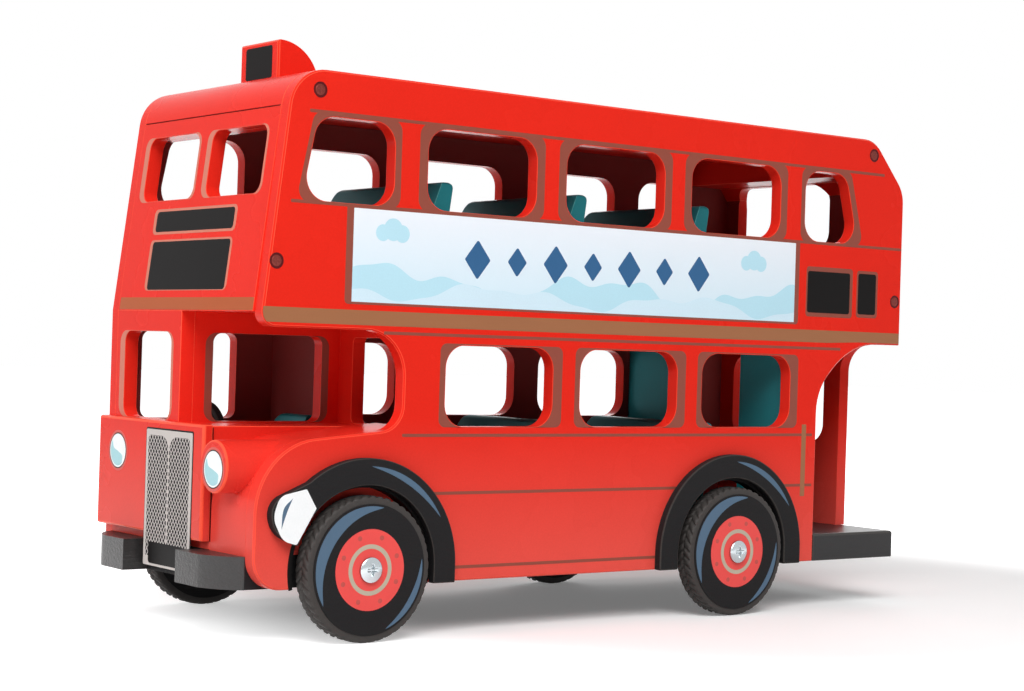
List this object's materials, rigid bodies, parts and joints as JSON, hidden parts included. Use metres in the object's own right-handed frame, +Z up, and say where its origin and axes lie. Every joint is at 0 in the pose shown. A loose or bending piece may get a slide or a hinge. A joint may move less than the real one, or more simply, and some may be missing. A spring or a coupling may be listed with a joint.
{
  "type": "toy double decker bus",
  "caption": "Painted wooden toy double decker bus with a half cab, open rear platform, cut-out windows, bench seats and freely turning wheels.",
  "frame": {"origin": "bottom centre of the whole toy's bounding box, on the floor between the wheels", "axes": "+X towards the bonnet, +Y to the toy's left, the side with the open platform, +Z up"},
  "size_m": [0.379, 0.1462, 0.2457],
  "materials": {
    "red_paint": "satin",
    "black_paint": "matte",
    "teal_paint": "satin",
    "grille_paint": "satin",
    "tyre_rubber": "matte",
    "screw_steel": "satin"
  },
  "bodies": {
    "bus_body": {"side_panel_near": "red_paint", "side_panel_off": "red_paint", "front_header": "red_paint", "rear_header": "red_paint", "roof_board": "red_paint", "upper_front_panel": "red_paint", "upper_rear_panel": "red_paint", "upper_deck_floor": "red_paint", "rear_lower_panel": "red_paint", "saloon_bulkhead": "red_paint", "cab_front_panel": "red_paint", "cab_side_wall": "red_paint", "bonnet_block": "red_paint", "wing_block": "red_paint", "headlamp_pod": "red_paint", "apron_board": "red_paint", "sign_box": "red_paint", "base_board": "black_paint", "rear_platform": "black_paint", "steering_wheel": "black_paint", "steering_column": "black_paint", "bumper_near": "black_paint", "bumper_off": "black_paint", "driver_seat": "teal_paint", "saloon_partition_near": "teal_paint", "saloon_partition_off": "teal_paint", "upper_seat_1": "teal_paint", "upper_seat_2": "teal_paint", "upper_seat_3": "teal_paint", "lower_seat_1": "teal_paint", "lower_seat_2": "teal_paint", "grille_plate": "grille_paint", "wheel_screws_near": "screw_steel", "wheel_screws_off": "screw_steel", "wheel_arch_front_near": "black_paint", "wheel_arch_front_off": "black_paint", "wheel_arch_rear_near": "black_paint", "wheel_arch_rear_off": "black_paint"},
    "wheel_front_near": {"wheel_disc_front_near": "black_paint", "tyre_front_near": "tyre_rubber"},
    "wheel_front_off": {"wheel_disc_front_off": "black_paint", "tyre_front_off": "tyre_rubber"},
    "wheel_rear_near": {"wheel_disc_rear_near": "black_paint", "tyre_rear_near": "tyre_rubber"},
    "wheel_rear_off": {"wheel_disc_rear_off": "black_paint", "tyre_rear_off": "tyre_rubber"}
  },
  "joints": [
    {"name": "wheel_front_near_spin", "type": "hinge", "parent": "bus_body", "child": "wheel_front_near", "pos_m": [0.12791, 0.065, 0.0295], "axis": [0, 1, 0], "continuous": true},
    {"name": "wheel_front_off_spin", "type": "hinge", "parent": "bus_body", "child": "wheel_front_off", "pos_m": [0.12791, -0.065, 0.0295], "axis": [0, 1, 0], "continuous": true},
    {"name": "wheel_rear_near_spin", "type": "hinge", "parent": "bus_body", "child": "wheel_rear_near", "pos_m": [-0.07489, 0.065, 0.0295], "axis": [0, 1, 0], "continuous": true},
    {"name": "wheel_rear_off_spin", "type": "hinge", "parent": "bus_body", "child": "wheel_rear_off", "pos_m": [-0.07489, -0.065, 0.0295], "axis": [0, 1, 0], "continuous": true}
  ]
}
